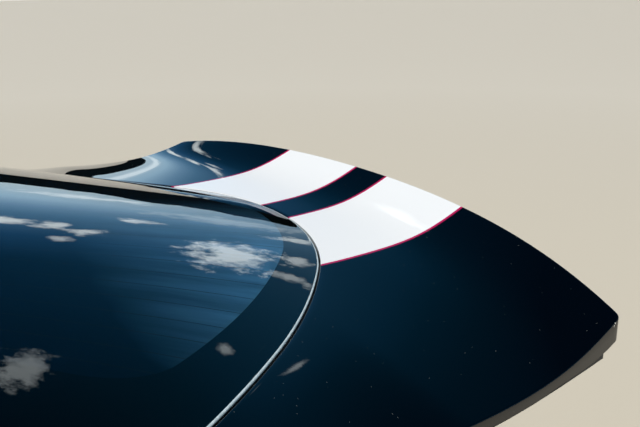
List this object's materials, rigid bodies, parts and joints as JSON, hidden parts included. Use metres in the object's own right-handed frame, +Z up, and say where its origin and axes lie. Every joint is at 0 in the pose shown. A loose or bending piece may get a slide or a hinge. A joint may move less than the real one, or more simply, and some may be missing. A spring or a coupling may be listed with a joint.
{
  "type": "rear hatch with bonded window",
  "caption": "Painted fastback rear hatch with lip spoiler, bonded tinted window, gooseneck hinges and gas struts.",
  "frame": {"origin": "centre of the hinge bases' bolt holes, on the face that lies on the body", "axes": "+X the car's right, +Y the car's front, +Z up with the hatch shut"},
  "size_m": [1.536, 1.4189, 0.2919],
  "materials": {
    "dark_paint": "gloss clear coat over near-black navy, with white stripes and red lines",
    "frame_composite": "moulded composite",
    "tinted_glass": "tinted, with a black band at its edge",
    "bonding_bead": "cured bead",
    "plated_steel": "zinc plated",
    "trim_plastic": "fine grained",
    "black_plastic": "moulded",
    "coated_steel": "satin black coating",
    "strut_black": "black enamel",
    "rod_chrome": "hard chrome",
    "black_rubber": "moulded"
  },
  "bodies": {
    "root": {"hinge_base_right": "coated_steel", "hinge_pin_right": "plated_steel", "strut_body_bracket_right": "coated_steel", "strut_body_stud_right": "plated_steel", "hinge_base_left": "coated_steel", "hinge_pin_left": "plated_steel", "strut_body_bracket_left": "coated_steel", "strut_body_stud_left": "plated_steel"},
    "hatch": {"outer_skin": "dark_paint", "inner_frame": "frame_composite", "window_ledge": "frame_composite", "rear_glass": "tinted_glass", "glass_bond": "bonding_bead", "latch_striker": "plated_steel", "tail_trim": "trim_plastic", "pull_cup": "trim_plastic", "tail_closeout": "black_plastic", "hinge_arm_right": "coated_steel", "hinge_arm_left": "coated_steel", "strut_hatch_bracket_right": "coated_steel", "strut_hatch_bracket_left": "coated_steel", "bumper_right": "black_rubber", "bumper_left": "black_rubber", "guide_wedge_right": "black_plastic", "guide_wedge_left": "black_plastic"},
    "strut_tube_right": {"strut_tube_right": "strut_black"},
    "strut_rod_right": {"strut_rod_right": "rod_chrome", "strut_hatch_stud_right": "plated_steel"},
    "strut_tube_left": {"strut_tube_left": "strut_black"},
    "strut_rod_left": {"strut_rod_left": "rod_chrome", "strut_hatch_stud_left": "plated_steel"}
  },
  "joints": [
    {"name": "hatch_hinge", "type": "hinge", "parent": "root", "child": "hatch", "pos_m": [0, 0, 0.03], "axis": [-1, 0, 0], "range_deg": [0, 60]},
    {"name": "strut_swing_right", "type": "hinge", "parent": "root", "child": "strut_tube_right", "pos_m": [0.672, -0.101, -0.188], "axis": [-1, 0, 0], "range_deg": [0, 54.1]},
    {"name": "strut_slide_right", "type": "slide", "parent": "strut_tube_right", "child": "strut_rod_right", "axis": [0, -0.9839, 0.1789], "range_m": [0, 0.2355]},
    {"name": "strut_swing_left", "type": "hinge", "parent": "root", "child": "strut_tube_left", "pos_m": [-0.672, -0.101, -0.188], "axis": [-1, 0, 0], "range_deg": [0, 54.1]},
    {"name": "strut_slide_left", "type": "slide", "parent": "strut_tube_left", "child": "strut_rod_left", "axis": [0, -0.9839, 0.1789], "range_m": [0, 0.2355]}
  ],
  "couplings": [
    {"joint": "strut_swing_right", "follows": "hatch_hinge", "ratio": 0.90047},
    {"joint": "strut_slide_right", "follows": "hatch_hinge", "m_per_rad": 0.22433},
    {"joint": "strut_swing_left", "follows": "hatch_hinge", "ratio": 0.90047},
    {"joint": "strut_slide_left", "follows": "hatch_hinge", "m_per_rad": 0.22433}
  ]
}
